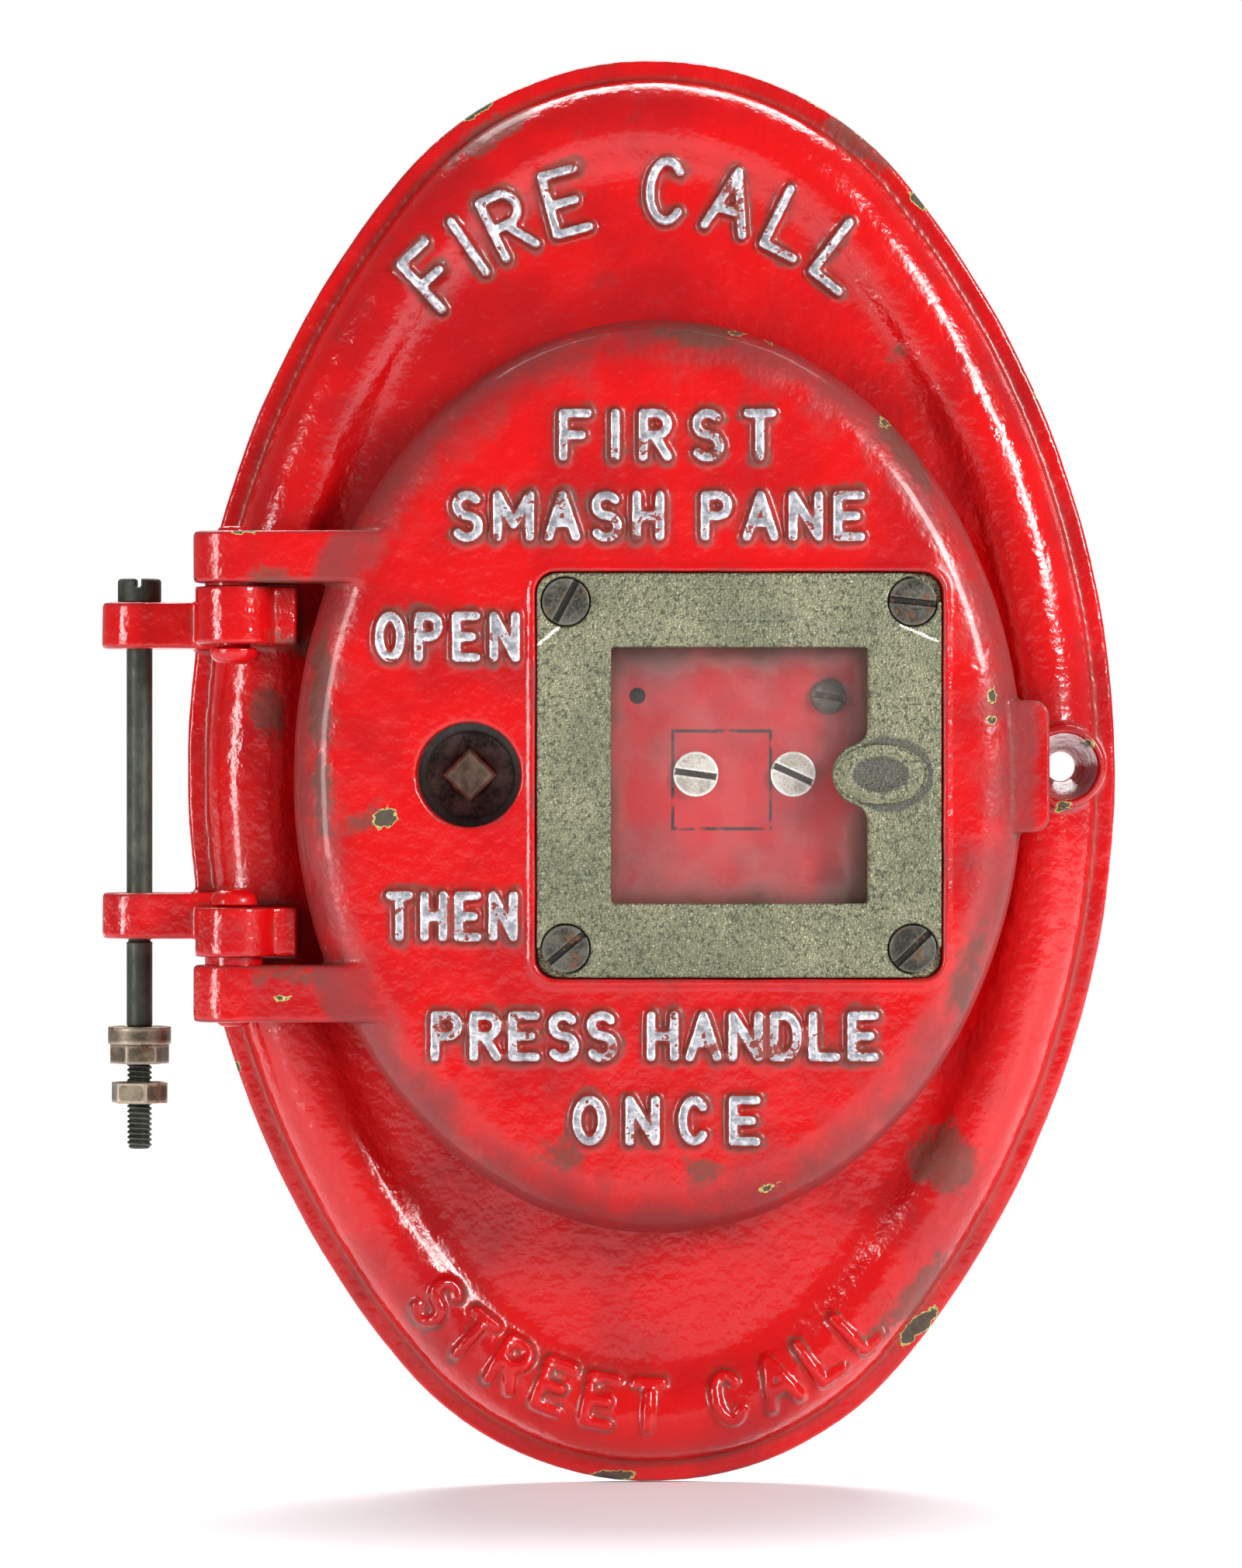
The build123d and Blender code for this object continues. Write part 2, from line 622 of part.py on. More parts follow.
with BuildPart() as lever_stud_nut:
    disc(lever_pivot, 7.0, nut_rear, nut_rear + 1.0)
    with BuildSketch(level(nut_rear + 1.0)):
        with Locations(Location((lever_pivot[0], lever_pivot[1], 0), (0, 0, 12))):
            RegularPolygon(5.5, 6, major_radius=False)
    extrude(amount=3.2)
    disc(lever_pivot, 3.0, nut_rear, nut_rear + 4.2, mode=Mode.SUBTRACT)

spring_wire = 0.7
spring_radius = 6.3
spring_start = base_front + 1.2 + spring_wire + 0.1
with BuildPart() as lever_spring:
    with BuildLine() as spring_line:
        Helix(
            pitch=1.55,
            height=4.2,
            radius=spring_radius,
            center=(lever_pivot[0], -spring_start, lever_pivot[1]),
            direction=(0, -1, 0),
        )
    with BuildSketch(Plane(origin=spring_line.line @ 0, z_dir=spring_line.line % 0)):
        Circle(spring_wire)
    sweep()

arm_direction = atan2(knob_centre[1] - lever_pivot[1], knob_centre[0] - lever_pivot[0])
tail_spot = (lever_pivot[0] - 20 * cos(arm_direction), lever_pivot[1] - 20 * sin(arm_direction))
with BuildPart() as pull_lever:
    with BuildSketch(level(lever_rear)):
        with Locations(lever_pivot):
            Circle(9.0)
        with Locations(knob_centre):
            Circle(6.5)
        make_hull()
    extrude(amount=lever_front - lever_rear)
    with BuildSketch(level(lever_rear)):
        with Locations(lever_pivot):
            Circle(9.0)
        with Locations(tail_spot):
            Circle(3.5)
        make_hull()
    extrude(amount=lever_front - lever_rear)
    # Finger on the tail that pushes the contact leaves together
    with BuildSketch(level(lever_rear)):
        with Locations(tail_spot):
            Circle(3.5)
        with Locations((tail_spot[0] + 2.0, tail_spot[1] + 9.0)):
            Circle(2.5)
        make_hull()
    extrude(amount=lever_front - lever_rear)
    disc(lever_pivot, stud_radius + running_gap, lever_rear, lever_front, mode=Mode.SUBTRACT)
    disc(knob_centre, 2.5, lever_rear, lever_front, mode=Mode.SUBTRACT)

knob_end = lever_front + 14.0
with BuildPart() as lever_knob:
    with BuildSketch(Plane(origin=(knob_centre[0], 0, knob_centre[1]), x_dir=(1, 0, 0), z_dir=(0, 0, -1))):
        with BuildLine():
            Polyline((0, knob_end), (0, lever_front), (6.5, lever_front), (6.5, lever_front + 1.5))
            Spline(
                (6.5, lever_front + 1.5), (4.6, lever_front + 5.0), (7.0, lever_front + 10.5), (0, knob_end),
                tangents=((-1, 0.6), (-1, 0)),
            )
        make_face()
    revolve(axis=Axis((knob_centre[0], 0, knob_centre[1]), (0, 1, 0)))
    disc(knob_centre, 2.5, lever_front, lever_front + 8.0, mode=Mode.SUBTRACT)

with BuildPart() as knob_rivet:
    disc(knob_centre, 4.2, lever_rear - 1.4, lever_rear)
    disc(knob_centre, 2.5, lever_rear, lever_front + 7.5)

with BuildPart() as lever_stop:
    disc(stop_spot, 2.0, base_rear, base_front)
    disc(stop_spot, 3.0, base_front, lever_front + 1.5)

block_centre = (-33.0, 74.0)
leaf_levels = (68.4, 72.4)
leaf_rear = 0.0
leaf_front = 5.0
block_front = 5.6
terminal_spots = [(-36.5, 76.8), (-27.5, 76.8)]
with BuildPart() as contact_block:
    block(block_centre, 20.0, 15.0, base_front, block_front, corner=1.0)
    for leaf_z in leaf_levels:
        block((-40.0, leaf_z), 10.0, 0.6, leaf_rear, leaf_front, mode=Mode.SUBTRACT)
    for spot in terminal_spots:
        disc(spot, 1.2, 0.0, block_front, mode=Mode.SUBTRACT)

with BuildPart() as contact_leaves:
    for leaf_z in leaf_levels:
        block((-46.0, leaf_z), 22.0, 0.6, leaf_rear, leaf_front)

with BuildPart() as terminal_screws:
    for spot, angle in zip(terminal_spots, (20, -35)):
        front_screw(spot, 2.6, block_front, block_front + 1.4, 1.2, 0.6, angle)

# ---- Output ----

pieces = {
    "outer_cover": outer_cover,
    "hinge_bolt": hinge_bolt,
    "hinge_bolt_washers": hinge_bolt_washers,
    "hinge_bolt_nuts": hinge_bolt_nuts,
    "inner_door": inner_door,
    "door_pins": door_pins,
    "door_pin_washers": door_pin_washers,
    "window_frame": window_frame,
    "frame_screws": frame_screws,
    "glass_pane": glass_pane,
    "glass_gaskets": glass_gaskets,
    "guard_plate": guard_plate,
    "guard_posts": guard_posts,
    "guard_screws": guard_screws,
    "guard_dome_screw": guard_dome_screw,
    "lock_plate": lock_plate,
    "lock_plate_screws": lock_plate_screws,
    "spindle_bush": spindle_bush,
    "lock_spindle": lock_spindle,
    "spindle_arm": spindle_arm,
    "spindle_arm_pin": spindle_arm_pin,
    "latch_bar": latch_bar,
    "latch_guides": latch_guides,
    "guide_screws": guide_screws,
    "strike_plate": strike_plate,
    "strike_screws": strike_screws,
    "base_plate": base_plate,
    "base_plate_screws": base_plate_screws,
    "lever_stud": lever_stud,
    "lever_stud_nut": lever_stud_nut,
    "lever_spring": lever_spring,
    "pull_lever": pull_lever,
    "lever_knob": lever_knob,
    "knob_rivet": knob_rivet,
    "lever_stop": lever_stop,
    "contact_block": contact_block,
    "contact_leaves": contact_leaves,
    "terminal_screws": terminal_screws,
}
os.makedirs("parts", exist_ok=True)
for name, piece in pieces.items():
    piece.part.label = name
    export_step(piece.part, f"parts/{name}.step")
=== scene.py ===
"""The look of a street fire alarm box: castings, bronze window frame, hinge bolt, floor, light and camera."""

import json
import math

import bmesh
import bpy
import numpy as np
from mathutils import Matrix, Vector, noise
from mathutils.bvhtree import BVHTree
from mathutils.kdtree import KDTree

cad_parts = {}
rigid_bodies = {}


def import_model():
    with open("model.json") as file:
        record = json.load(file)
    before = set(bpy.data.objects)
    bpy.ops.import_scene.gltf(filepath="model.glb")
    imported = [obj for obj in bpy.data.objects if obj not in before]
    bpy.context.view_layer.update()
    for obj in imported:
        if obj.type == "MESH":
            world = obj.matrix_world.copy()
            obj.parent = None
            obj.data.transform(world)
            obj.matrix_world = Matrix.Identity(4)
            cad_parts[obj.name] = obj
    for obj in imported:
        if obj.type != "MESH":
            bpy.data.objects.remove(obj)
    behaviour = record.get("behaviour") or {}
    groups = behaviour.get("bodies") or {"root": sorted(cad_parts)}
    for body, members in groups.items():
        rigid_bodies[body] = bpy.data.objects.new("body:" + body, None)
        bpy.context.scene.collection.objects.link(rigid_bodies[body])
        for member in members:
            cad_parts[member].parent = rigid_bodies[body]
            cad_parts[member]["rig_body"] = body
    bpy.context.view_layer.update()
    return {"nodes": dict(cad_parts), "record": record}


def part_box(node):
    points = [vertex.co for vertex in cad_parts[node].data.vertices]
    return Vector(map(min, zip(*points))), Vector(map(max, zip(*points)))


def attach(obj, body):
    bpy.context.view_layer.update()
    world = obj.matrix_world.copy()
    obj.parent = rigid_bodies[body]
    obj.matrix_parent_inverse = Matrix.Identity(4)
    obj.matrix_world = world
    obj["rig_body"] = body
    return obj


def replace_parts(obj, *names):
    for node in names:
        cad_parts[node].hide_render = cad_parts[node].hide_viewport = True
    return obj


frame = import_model()

MM = 0.001
REACH = 8 * MM  # how far from a letter or a chip its closeness is kept
NODES = frame["nodes"]


# ---------------------------------------------------------------- lettering


def bow(cx, cy, rx, ry, start, end, count=10):
    """Points of an elliptical arc in a letter's own square, angles in degrees."""
    angles = [math.radians(start + (end - start) * i / count) for i in range(count + 1)]
    return [(cx + rx * math.cos(a), cy + ry * math.sin(a)) for a in angles]


UPPER_BOWL = [(0, 1)] + bow(0.55, 0.75, 0.45, 0.25, 90, -90) + [(0, 0.5)]
LOWER_BOWL = [(0, 0.5)] + bow(0.55, 0.25, 0.45, 0.25, 90, -90) + [(0, 0)]
STEM = [(0, 0), (0, 1)]
GLYPHS = {
    "A": [[(0, 0), (0.5, 1), (1, 0)], [(0.2, 0.34), (0.8, 0.34)]],
    "B": [STEM, UPPER_BOWL, LOWER_BOWL],
    "C": [bow(0.5, 0.5, 0.5, 0.5, 42, 318, 18)],
    "D": [STEM, [(0, 1)] + bow(0.42, 0.5, 0.58, 0.5, 90, -90, 14) + [(0, 0)]],
    "E": [[(1, 1), (0, 1), (0, 0), (1, 0)], [(0, 0.5), (0.8, 0.5)]],
    "F": [[(1, 1), (0, 1), (0, 0)], [(0, 0.5), (0.75, 0.5)]],
    "H": [STEM, [(1, 0), (1, 1)], [(0, 0.5), (1, 0.5)]],
    "I": [[(0.5, 0), (0.5, 1)]],
    "L": [[(0, 1), (0, 0), (1, 0)]],
    "M": [[(0, 0), (0, 1), (0.5, 0.3), (1, 1), (1, 0)]],
    "N": [[(0, 0), (0, 1), (1, 0), (1, 1)]],
    "O": [bow(0.5, 0.5, 0.5, 0.5, 0, 360, 22)],
    "P": [STEM, UPPER_BOWL],
    "R": [STEM, UPPER_BOWL, [(0.45, 0.5), (1, 0)]],
    "S": [
        bow(0.5, 0.755, 0.46, 0.245, 35, 270, 12)
        + bow(0.5, 0.245, 0.5, 0.265, 90, -145, 12)[1:]
    ],
    "T": [[(0, 1), (1, 1)], [(0.5, 1), (0.5, 0)]],
    "X": [[(0, 0), (1, 1)], [(0, 1), (1, 0)]],
}
LETTER_WIDTHS = {"I": 0.0, "M": 0.78, "O": 0.62, "A": 0.66, "N": 0.62}


def laid_out(text, height, span, squeeze=1.0):
    """Each letter of a line with where it starts and how wide it is, spread over the span."""
    widths = [LETTER_WIDTHS.get(c, 0.56) * squeeze * height for c in text]
    gaps = sum(2.4 if c == " " else 1 for c in text) - 1
    letters = sum(w for c, w in zip(text, widths) if c != " ")
    gap = (span - letters) / gaps
    at, found = 0.0, []
    for character, width in zip(text, widths):
        if character == " ":
            at += 1.4 * gap
            continue
        found.append((character, at, width))
        at += width + gap
    return found


def row_strokes(text, left, right, middle, height, squeeze=1.0):
    """The strokes of a straight line of letters as lists of (x, z) points."""
    strokes = []
    for character, start, width in laid_out(text, height, right - left, squeeze):
        for line in GLYPHS[character]:
            strokes.append(
                [
                    (left + start + u * width, middle + (v - 0.5) * height)
                    for u, v in line
                ]
            )
    return strokes


def arc_strokes(text, centre, radius, from_deg, to_deg, height, outward=True):
    """The strokes of a line of letters that follows an arc; outward has their tops away from its centre."""
    sweep = math.radians(to_deg - from_deg)
    strokes = []
    for character, start, width in laid_out(text, height, abs(sweep) * radius):
        middle = start + width / 2
        angle = math.radians(from_deg) + math.copysign(middle / radius, sweep)
        up = Vector((math.cos(angle), math.sin(angle)))
        if not outward:
            up = -up
        along = Vector((up.y, -up.x))
        foot = Vector(centre) + Vector((math.cos(angle), math.sin(angle))) * radius
        for line in GLYPHS[character]:
            points = [
                foot + along * (u - 0.5) * width + up * (v - 0.5) * height
                for u, v in line
            ]
            strokes.append([tuple(p) for p in points])
    return strokes


def front_of(node):
    """A function that gives the y of a CAD node's front at (x, z), or None beside it."""
    bm = bmesh.new()
    bm.from_mesh(NODES[node].data)
    tree = BVHTree.FromBMesh(bm)
    bm.free()

    def front(x, z):
        return tree.ray_cast(Vector((x, -0.2, z)), Vector((0, 1, 0)))[0]

    return front


def bridge(bm, rings):
    """Joins rings of vertices into one closed skin, with a flat face at either end."""
    count = len(rings[0])
    for lower, upper in zip(rings, rings[1:]):
        for i in range(count):
            j = (i + 1) % count
            bm.faces.new((lower[i], lower[j], upper[j], upper[i]))
    bm.faces.new(list(reversed(rings[0])))
    bm.faces.new(rings[-1])


def ridge(bm, front, a, b, foot, top, rise):
    """One straight piece of a raised stroke, round at both ends, that follows the surface below it."""
    a, b = Vector(a), Vector(b)
    heading = math.atan2(b.y - a.y, b.x - a.x) if (b - a).length > 1e-7 else 0
    rings = []
    for radius, lift in ((foot, -0.7 * MM), (foot, 0.1 * MM), (top, rise)):
        ring = []
        for end, base in ((b, heading - math.pi / 2), (a, heading + math.pi / 2)):
            for step in range(7):
                angle = base + math.pi * step / 6
                x = end.x + radius * math.cos(angle)
                z = end.y + radius * math.sin(angle)
                hit = front(end.x, end.y)
                ring.append(bm.verts.new((x, hit.y - lift, z)))
        rings.append(ring)
    bridge(bm, rings)


def raise_strokes(bm, front, strokes, width, rise):
    """Adds raised strokes to bm and returns the points along their middle lines."""
    points = []
    for line in strokes:
        for a, b in zip(line, line[1:]):
            length = math.dist(a, b)
            count = max(1, math.ceil(length / (3 * MM)))
            for i in range(count):
                start = [p + (q - p) * i / count for p, q in zip(a, b)]
                end = [p + (q - p) * (i + 1) / count for p, q in zip(a, b)]
                ridge(bm, front, start, end, width / 2 + 0.55 * MM, width / 2, rise)
            fine = max(1, math.ceil(length / (0.4 * MM)))
            points += [
                [p + (q - p) * i / fine for p, q in zip(a, b)] for i in range(fine + 1)
            ]
    return points


# ---------------------------------------------------------------- meshes


def points_of(mesh):
    """A mesh's vertices as an array."""
    flat = np.empty(len(mesh.vertices) * 3)
    mesh.vertices.foreach_get("co", flat)
    return flat.reshape(-1, 3)


def normals_of(mesh):
    """A mesh's vertex normals as an array."""
    flat = np.empty(len(mesh.vertices) * 3)
    mesh.vertex_normals.foreach_get("vector", flat)
    return flat.reshape(-1, 3)


def relief_of(mesh, rounds):
    """How far each vertex stands proud of its smoothed surroundings, in metres; negative in a hollow."""
    co = points_of(mesh)
    edges = np.empty(len(mesh.edges) * 2, int)
    mesh.edges.foreach_get("vertices", edges)
    one, other = edges.reshape(-1, 2).T
    count = np.bincount(edges, minlength=len(co))[:, None]
    soft = co.copy()
    for _ in range(rounds):
        total = [
            np.bincount(one, soft[other, axis], len(co))
            + np.bincount(other, soft[one, axis], len(co))
            for axis in range(3)
        ]
        soft = np.stack(total, 1) / count
    return ((co - soft) * normals_of(mesh)).sum(1)


def write(mesh, name, values):
    """Keeps one number for each vertex under a name the materials read."""
    mesh.attributes.new(name, "FLOAT", "POINT").data.foreach_set(
        "value", np.asarray(values, np.float32)
    )


def placed(name, mesh, body, material):
    """Puts a mesh in the scene as a piece of that body."""
    obj = bpy.data.objects.new(name, mesh)
    bpy.context.scene.collection.objects.link(obj)
    mesh.materials.clear()
    mesh.materials.append(material)
    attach(obj, body)
    return obj


def skinned(bm, name, voxel, relax):
    """One closed skin round everything in bm, with its corners eased by relax rounds of smoothing."""
    bmesh.ops.remove_doubles(bm, verts=bm.verts, dist=1e-7)
    rough = bpy.data.meshes.new(name + "_rough")
    bm.to_mesh(rough)
    bm.free()
    holder = bpy.data.objects.new(name + "_rough", rough)
    bpy.context.scene.collection.objects.link(holder)
    remesh = holder.modifiers.new("skin", "REMESH")
    remesh.mode = "VOXEL"
    remesh.voxel_size = voxel
    remesh.use_smooth_shade = True
    ease = holder.modifiers.new("ease", "SMOOTH")
    ease.factor = 0.5
    ease.iterations = relax
    graph = bpy.context.evaluated_depsgraph_get()
    mesh = bpy.data.meshes.new_from_object(holder.evaluated_get(graph))
    mesh.name = name
    bpy.data.objects.remove(holder)
    bpy.data.meshes.remove(rough)
    return mesh


def lump(mesh, size, depth, seed):
    """Moves each vertex along its normal by slow noise, as sand casting does, but not on the rear."""
    co, normal = points_of(mesh), normals_of(mesh)
    shift = Vector((seed, 2.3 * seed, 0))
    push = [noise.noise(Vector(p) / size + shift) for p in co]
    ahead = np.clip(0.5 - normal[:, 1], 0, 1)
    co += normal * (np.array(push) * ahead * depth)[:, None]
    mesh.vertices.foreach_set("co", co.ravel())
    mesh.update()


def closeness(co, points, reach=REACH):
    """1 on the given (x, z) points, falling to 0 at reach from them, for vertices that face the front."""
    tree = KDTree(len(points))
    for i, (x, z) in enumerate(points):
        tree.insert((x, 0, z), i)
    tree.balance()
    low = np.min(points, 0) - reach
    high = np.max(points, 0) + reach
    near = np.zeros(len(co))
    inside = ((co[:, [0, 2]] > low) & (co[:, [0, 2]] < high)).all(1)
    for i in np.nonzero(inside)[0]:
        distance = tree.find((co[i, 0], 0, co[i, 2]))[2]
        near[i] = max(0.0, 1 - distance / reach)
    return near


def spots(co, places):
    """0.5 on the edge of each spot (x, z, half width, half height, turn), more within and less around it."""
    best = np.zeros(len(co))
    for x, z, wide, high, turn in places:
        c, s = math.cos(math.radians(turn)), math.sin(math.radians(turn))
        dx, dz = co[:, 0] - x * MM, co[:, 2] - z * MM
        u, v = (dx * c + dz * s) / (wide * MM), (dz * c - dx * s) / (high * MM)
        size = math.sqrt(wide * high) * MM
        distance = (np.hypot(u, v) - 1) * size
        best = np.maximum(best, np.clip(0.5 - distance / REACH, 0, 1))
    return best


def cast(node, name, material, voxel, relax=4, lumps=None, extra=None):
    """A CAD node as it comes from use or the foundry, with eased corners and an uneven skin."""
    bm = bmesh.new()
    bm.from_mesh(NODES[node].data)
    if extra:
        bm.from_mesh(extra)
    mesh = skinned(bm, name, voxel, relax)
    if lumps:
        lump(mesh, *lumps)
    write(mesh, "relief", relief_of(mesh, 24) / MM)
    piece = placed(name, mesh, NODES[node]["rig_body"], material)
    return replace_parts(piece, node)


# ---------------------------------------------------------------- materials


def rgb(red, green, blue):
    """A screen colour, 0 to 255 a channel, as a shader colour."""
    return tuple(((c / 255 + 0.055) / 1.055) ** 2.4 for c in (red, green, blue)) + (1,)


class Shade:
    """A material in the making: a Principled shader with what feeds it."""

    def __init__(self, name, **plain):
        self.material = bpy.data.materials.new(name)
        self.material.use_nodes = True
        self.tree = self.material.node_tree
        self.shader = self.tree.nodes["Principled BSDF"]
        for socket, value in plain.items():
            self.shader.inputs[socket.replace("_", " ")].default_value = value
        self.place = self.add("TexCoord").outputs["Object"]

    def add(self, kind, ins=None, **settings):
        node = self.tree.nodes.new("ShaderNode" + kind)
        for key, value in settings.items():
            setattr(node, key, value)
        for key, value in (ins or {}).items():
            if isinstance(value, bpy.types.NodeSocket):
                self.tree.links.new(value, node.inputs[key])
            else:
                node.inputs[key].default_value = value
        return node

    def feed(self, socket, value):
        self.tree.links.new(value, self.shader.inputs[socket])

    def noise(self, size, detail=3.0, rough=0.55, stretch=None):
        """Noise of that size in mm, 0 to 1."""
        vector = self.place
        if stretch:
            vector = self.add(
                "VectorMath", {0: self.place, 1: stretch}, operation="MULTIPLY"
            ).outputs[0]
        ins = {
            "Vector": vector,
            "Scale": 1000 / size,
            "Detail": detail,
            "Roughness": rough,
        }
        return self.add("TexNoise", ins).outputs[0]

    def cells(self, size, feature="F1"):
        """Distance to the nearest of scattered points that far apart in mm."""
        ins = {"Vector": self.place, "Scale": 1000 / size}
        return self.add("TexVoronoi", ins, feature=feature).outputs["Distance"]

    def kept(self, name):
        """A number that the mesh keeps for each vertex."""
        return self.add("Attribute", attribute_name=name).outputs["Fac"]

    def step(self, value, low, high):
        """0 below low, 1 above high and smooth between; low may be above high."""
        flip = low > high
        ins = {
            "Value": value,
            "From Min": min(low, high),
            "From Max": max(low, high),
            "To Min": 1.0 if flip else 0.0,
            "To Max": 0.0 if flip else 1.0,
        }
        return self.add("MapRange", ins, interpolation_type="SMOOTHSTEP").outputs[0]

    def math(self, operation, a, b=0.0):
        return self.add("Math", {0: a, 1: b}, operation=operation).outputs[0]

    def mix(self, share, a, b):
        return self.add("Mix", {0: share, 6: a, 7: b}, data_type="RGBA").outputs[2]

    def between(self, share, a, b):
        """A number from a to b by share."""
        return self.add("Mix", {0: share, 2: a, 3: b}, data_type="FLOAT").outputs[0]

    def bump(self, height, depth, strength=1.0, under=None):
        """Bump of that depth in mm."""
        ins = {"Height": height, "Distance": depth * MM, "Strength": strength}
        if under is not None:
            ins["Normal"] = under
        return self.add("Bump", ins).outputs[0]


def red_paint(name, gloss=0.14, dusty=0.5):
    """Glossy enamel over a casting: letters picked out in silver, grime with painted shade in hollows, chips
    to bare iron.
    """
    m = Shade(name, Coat_Weight=0.25, Coat_Roughness=0.12, Specular_IOR_Level=0.35)
    broad = m.noise(34, 3)
    middling = m.noise(9, 4)
    fine = m.noise(1.7, 4, 0.6)
    relief = m.kept("relief")
    letter = m.kept("letter")
    beside = m.kept("beside")
    chip = m.kept("chip")
    stain = m.kept("stain")

    colour = m.mix(m.step(broad, 0.42, 0.66), rgb(190, 6, 9), rgb(164, 9, 15))
    edge = m.math("MAXIMUM", m.step(relief, 0.35, 1.1), m.kept("dust"))
    worn = m.math("ADD", edge, m.math("MULTIPLY", m.math("SUBTRACT", middling, 0.5), 1.3))
    worn = m.math("MULTIPLY", m.step(worn, 0.25, 1.1), dusty)
    colour = m.mix(worn, colour, rgb(122, 33, 33))
    patch = m.math("MULTIPLY", m.step(middling, 0.6, 0.72), m.step(broad, 0.5, 0.6))
    colour = m.mix(m.math("MULTIPLY", patch, 0.4), colour, rgb(118, 26, 28))

    speck = m.math("SUBTRACT", fine, 0.5)
    # Painted shade with grime: the hollows turn dark earth by how far they sink below their surroundings.
    hollow = m.step(m.math("ADD", relief, m.math("MULTIPLY", middling, 0.2)), 0, -0.5)
    ring = m.math("ADD", beside, m.math("MULTIPLY", speck, 0.25))
    ring = m.math("ADD", ring, m.math("MULTIPLY", m.math("SUBTRACT", middling, 0.5), 0.7))
    grime_and_shade = m.math("MAXIMUM", m.math("MULTIPLY", hollow, 0.55), m.step(ring, 0.6, 0.8))
    blot = m.math("ADD", stain, m.math("MULTIPLY", m.math("SUBTRACT", middling, 0.5), 2.0))
    blot = m.math("ADD", blot, m.math("MULTIPLY", speck, 0.9))
    grime_and_shade = m.math("MAXIMUM", grime_and_shade, m.step(blot, 0.45, 0.95))
    grime_and_shade = m.math("MULTIPLY", grime_and_shade, m.between(fine, 0.55, 1.0))
    earth_and_shade = m.mix(middling, rgb(56, 34, 27), rgb(98, 62, 49))
    # The earth colour lays the grime round the letters and on the stains, and the painted shade in the
    # hollows, alike.
    colour = m.mix(m.math("MULTIPLY", grime_and_shade, 0.92), colour, earth_and_shade)

    on_top = m.math("ADD", letter, m.math("MULTIPLY", speck, 0.06))
    silver = m.step(on_top, 0.865, 0.88)
    rubbed = m.math("ADD", middling, m.math("MULTIPLY", speck, 0.9))
    silver = m.math("MULTIPLY", silver, m.step(rubbed, 0.66, 0.6))
    leaf = m.mix(m.step(fine, 0.35, 0.65), rgb(150, 148, 154), rgb(216, 216, 222))
    colour = m.mix(silver, colour, leaf)

    wobble = m.math("MULTIPLY", m.math("SUBTRACT", m.noise(3.2, 5, 0.65), 0.5), 0.8)
    edge = m.math("ADD", chip, wobble)
    undercoat = m.step(edge, 0.5, 0.505)
    bare = m.step(edge, 0.545, 0.555)
    old = m.mix(fine, rgb(150, 138, 70), rgb(196, 190, 116))
    iron = m.mix(fine, rgb(44, 38, 32), rgb(92, 78, 62))
    colour = m.mix(undercoat, colour, old)
    colour = m.mix(bare, colour, iron)
    m.feed("Base Color", colour)

    rough = m.between(m.step(middling, 0.35, 0.7), gloss, gloss + 0.14)
    rough = m.between(m.math("MAXIMUM", grime_and_shade, worn), rough, 0.62)
    rough = m.between(silver, rough, 0.3)
    m.feed("Roughness", m.between(undercoat, rough, 0.75))
    m.feed("Metallic", m.math("MULTIPLY", silver, 0.55))

    coat = m.math("SUBTRACT", 1.0, undercoat)
    under = m.bump(m.noise(3.6, 2.5, 0.5), 0.5)
    under = m.bump(m.noise(1.3, 2, 0.5), 0.09, under=under)
    m.feed("Normal", m.bump(coat, 0.16, 0.8, under))
    return m.material


def sand_bronze():
    """A sand-cast bronze plate gone grey-green, with bright grains, and dirt with painted shade in its
    hollows.
    """
    m = Shade("sand_bronze", Specular_IOR_Level=0.6)
    broad = m.noise(22, 4)
    fine = m.noise(0.9, 4, 0.7)
    grain = m.cells(0.62)
    relief = m.kept("relief")
    colour = m.mix(m.step(broad, 0.35, 0.7), rgb(108, 110, 86), rgb(130, 128, 102))
    colour = m.mix(m.step(fine, 0.5, 0.38), colour, rgb(70, 74, 58))
    colour = m.mix(m.step(fine, 0.6, 0.7), colour, rgb(168, 162, 132))
    # Painted shade with dirt: hollows darken by how far they sink below their surroundings.
    dirt_and_shade = m.step(m.math("ADD", relief, m.math("MULTIPLY", broad, 0.06)), 0.02, -0.08)
    colour = m.mix(m.math("MULTIPLY", dirt_and_shade, 0.8), colour, rgb(48, 48, 42))
    dirt_and_shade = m.math("MAXIMUM", dirt_and_shade, m.kept("groove"))
    scrape = m.kept("scrape")
    bright = m.step(m.math("ADD", scrape, m.math("MULTIPLY", fine, 0.3)), 0.95, 1.1)
    colour = m.mix(bright, colour, rgb(228, 224, 204))
    m.feed("Base Color", colour)
    m.feed("Metallic", m.between(dirt_and_shade, 0.55, 0.1))
    rough = m.between(m.step(grain, 0.1, 0.45), 0.12, 0.5)
    m.feed("Roughness", m.between(bright, rough, 0.2))
    under = m.bump(m.noise(0.8, 3, 0.7), 0.2)
    m.feed("Normal", m.bump(grain, 0.3, 1.0, under))
    return m.material


